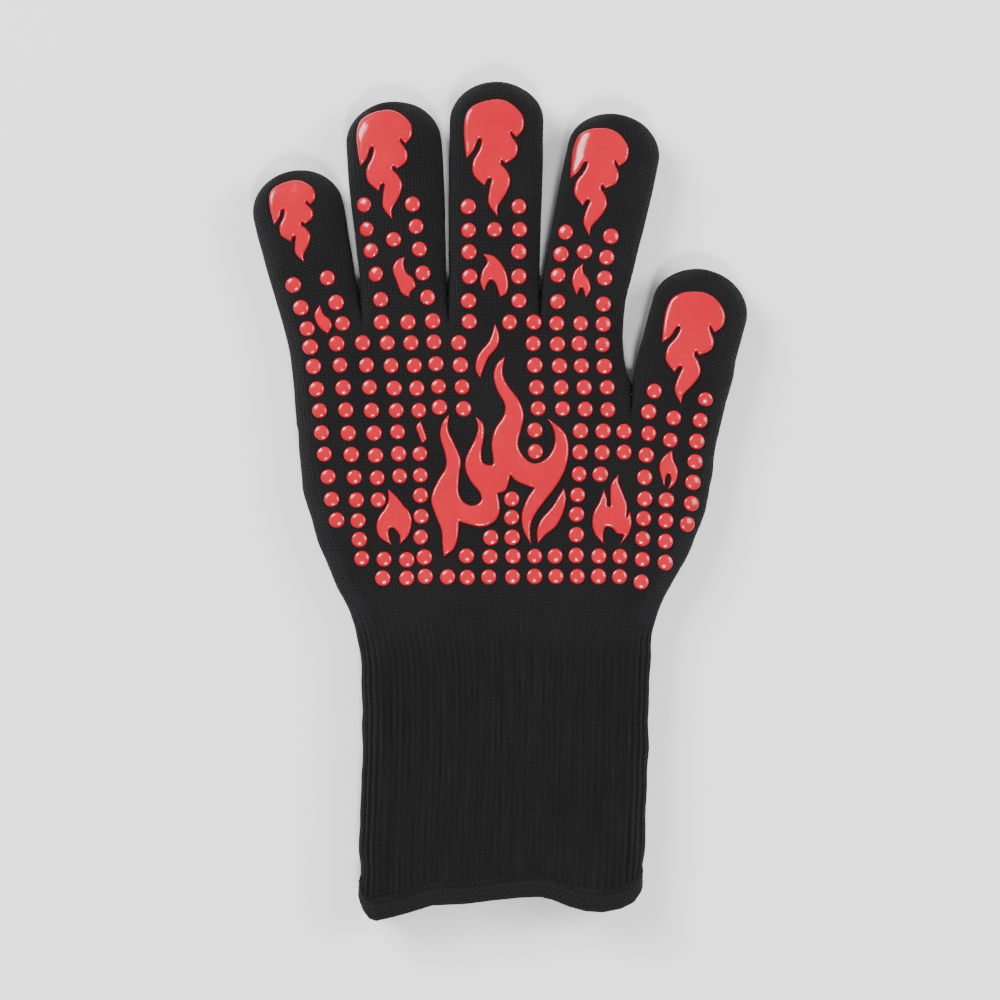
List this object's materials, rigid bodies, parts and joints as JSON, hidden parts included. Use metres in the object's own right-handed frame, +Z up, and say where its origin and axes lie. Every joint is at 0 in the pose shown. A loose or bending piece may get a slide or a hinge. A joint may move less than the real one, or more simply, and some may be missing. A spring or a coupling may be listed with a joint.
{
  "type": "heat resistant glove",
  "caption": "Five-finger knitted heat resistant glove for the right hand, lying palm up, with a long ribbed cuff, a cotton liner and a red silicone grip print.",
  "frame": {"origin": "on the surface the glove lies on, under the middle of its outline", "axes": "X across the hand with the thumb at +X, Y from the cuff to the fingertips, Z up out of the palm"},
  "size_m": [0.198, 0.335, 0.02],
  "materials": {
    "knit": "ribbed black aramid knit",
    "liner": "brushed charcoal cotton",
    "hem": "overlocked black edge",
    "silicone": "glossy bright red silicone"
  },
  "bodies": {
    "hand": {"hand_shell": "knit", "hand_liner": "liner", "palm_grip_dots": "silicone", "palm_flame_large": "silicone", "palm_flames_small": "silicone", "back_grip_dots": "silicone", "back_flames": "silicone"},
    "cuff": {"cuff_shell": "knit", "cuff_liner": "liner", "cuff_hem": "hem"},
    "little_base": {"little_base_shell": "knit", "little_base_liner": "liner", "little_base_print": "silicone"},
    "little_mid": {"little_mid_shell": "knit", "little_mid_liner": "liner", "little_mid_print": "silicone"},
    "little_tip": {"little_tip_shell": "knit", "little_tip_liner": "liner", "little_palm_flame": "silicone", "little_back_flame": "silicone"},
    "ring_base": {"ring_base_shell": "knit", "ring_base_liner": "liner", "ring_base_print": "silicone"},
    "ring_mid": {"ring_mid_shell": "knit", "ring_mid_liner": "liner", "ring_mid_print": "silicone"},
    "ring_tip": {"ring_tip_shell": "knit", "ring_tip_liner": "liner", "ring_palm_flame": "silicone", "ring_back_flame": "silicone"},
    "middle_base": {"middle_base_shell": "knit", "middle_base_liner": "liner", "middle_base_print": "silicone"},
    "middle_mid": {"middle_mid_shell": "knit", "middle_mid_liner": "liner", "middle_mid_print": "silicone"},
    "middle_tip": {"middle_tip_shell": "knit", "middle_tip_liner": "liner", "middle_palm_flame": "silicone", "middle_back_flame": "silicone"},
    "index_base": {"index_base_shell": "knit", "index_base_liner": "liner", "index_base_print": "silicone"},
    "index_mid": {"index_mid_shell": "knit", "index_mid_liner": "liner", "index_mid_print": "silicone"},
    "index_tip": {"index_tip_shell": "knit", "index_tip_liner": "liner", "index_palm_flame": "silicone", "index_back_flame": "silicone"},
    "thumb_base": {"thumb_base_shell": "knit", "thumb_base_liner": "liner", "thumb_base_print": "silicone"},
    "thumb_tip": {"thumb_tip_shell": "knit", "thumb_tip_liner": "liner", "thumb_palm_flame": "silicone", "thumb_back_flame": "silicone"}
  },
  "joints": [
    {"name": "wrist_bend", "type": "hinge", "parent": "hand", "child": "cuff", "pos_m": [0.0018, -0.058, 0.02], "axis": [-1, 0, 0], "range_deg": [0, 70], "stiffness_Nm_per_rad": 0.02},
    {"name": "little_base_bend", "type": "hinge", "parent": "hand", "child": "little_base", "pos_m": [-0.0734, 0.0822, 0.02], "axis": [0.977, 0.213, 0], "range_deg": [0, 85], "stiffness_Nm_per_rad": 0.006},
    {"name": "little_mid_bend", "type": "hinge", "parent": "little_base", "child": "little_mid", "pos_m": [-0.07713, 0.0993, 0.02], "axis": [0.977, 0.213, 0], "range_deg": [0, 90], "stiffness_Nm_per_rad": 0.006},
    {"name": "little_tip_bend", "type": "hinge", "parent": "little_mid", "child": "little_tip", "pos_m": [-0.08054, 0.11493, 0.02], "axis": [0.977, 0.213, 0], "range_deg": [0, 65], "stiffness_Nm_per_rad": 0.006},
    {"name": "ring_base_bend", "type": "hinge", "parent": "hand", "child": "ring_base", "pos_m": [-0.0384, 0.0846, 0.02], "axis": [-0.9976, -0.0698, 0], "range_deg": [-85, 0], "stiffness_Nm_per_rad": 0.006},
    {"name": "ring_mid_bend", "type": "hinge", "parent": "ring_base", "child": "ring_mid", "pos_m": [-0.04039, 0.11303, 0.02], "axis": [-0.9976, -0.0698, 0], "range_deg": [-90, 0], "stiffness_Nm_per_rad": 0.006},
    {"name": "ring_tip_bend", "type": "hinge", "parent": "ring_mid", "child": "ring_tip", "pos_m": [-0.04199, 0.13598, 0.02], "axis": [-0.9976, -0.0698, 0], "range_deg": [-65, 0], "stiffness_Nm_per_rad": 0.006},
    {"name": "middle_base_bend", "type": "hinge", "parent": "hand", "child": "middle_base", "pos_m": [-0.0025, 0.0838, 0.02], "axis": [0.9998, -0.0175, 0], "range_deg": [0, 85], "stiffness_Nm_per_rad": 0.006},
    {"name": "middle_mid_bend", "type": "hinge", "parent": "middle_base", "child": "middle_mid", "pos_m": [-0.00202, 0.1115, 0.02], "axis": [0.9998, -0.0175, 0], "range_deg": [0, 90], "stiffness_Nm_per_rad": 0.006},
    {"name": "middle_tip_bend", "type": "hinge", "parent": "middle_mid", "child": "middle_tip", "pos_m": [-0.00155, 0.13829, 0.02], "axis": [0.9998, -0.0175, 0], "range_deg": [0, 65], "stiffness_Nm_per_rad": 0.006},
    {"name": "index_base_bend", "type": "hinge", "parent": "hand", "child": "index_base", "pos_m": [0.0335, 0.0831, 0.02], "axis": [-0.9781, 0.2079, 0], "range_deg": [-85, 0], "stiffness_Nm_per_rad": 0.006},
    {"name": "index_mid_bend", "type": "hinge", "parent": "index_base", "child": "index_mid", "pos_m": [0.03907, 0.10931, 0.02], "axis": [-0.9781, 0.2079, 0], "range_deg": [-90, 0], "stiffness_Nm_per_rad": 0.006},
    {"name": "index_tip_bend", "type": "hinge", "parent": "index_mid", "child": "index_tip", "pos_m": [0.04379, 0.13152, 0.02], "axis": [-0.9781, 0.2079, 0], "range_deg": [-65, 0], "stiffness_Nm_per_rad": 0.006},
    {"name": "thumb_fold", "type": "hinge", "parent": "hand", "child": "thumb_base", "pos_m": [0.0528, 0.01, 0.02], "axis": [0, 1, 0], "range_deg": [-60, 0], "stiffness_Nm_per_rad": 0.006},
    {"name": "thumb_tip_bend", "type": "hinge", "parent": "thumb_base", "child": "thumb_tip", "pos_m": [0.0759, 0.0613, 0.02], "axis": [0.9659, -0.2588, 0], "range_deg": [0, 65], "stiffness_Nm_per_rad": 0.006}
  ]
}
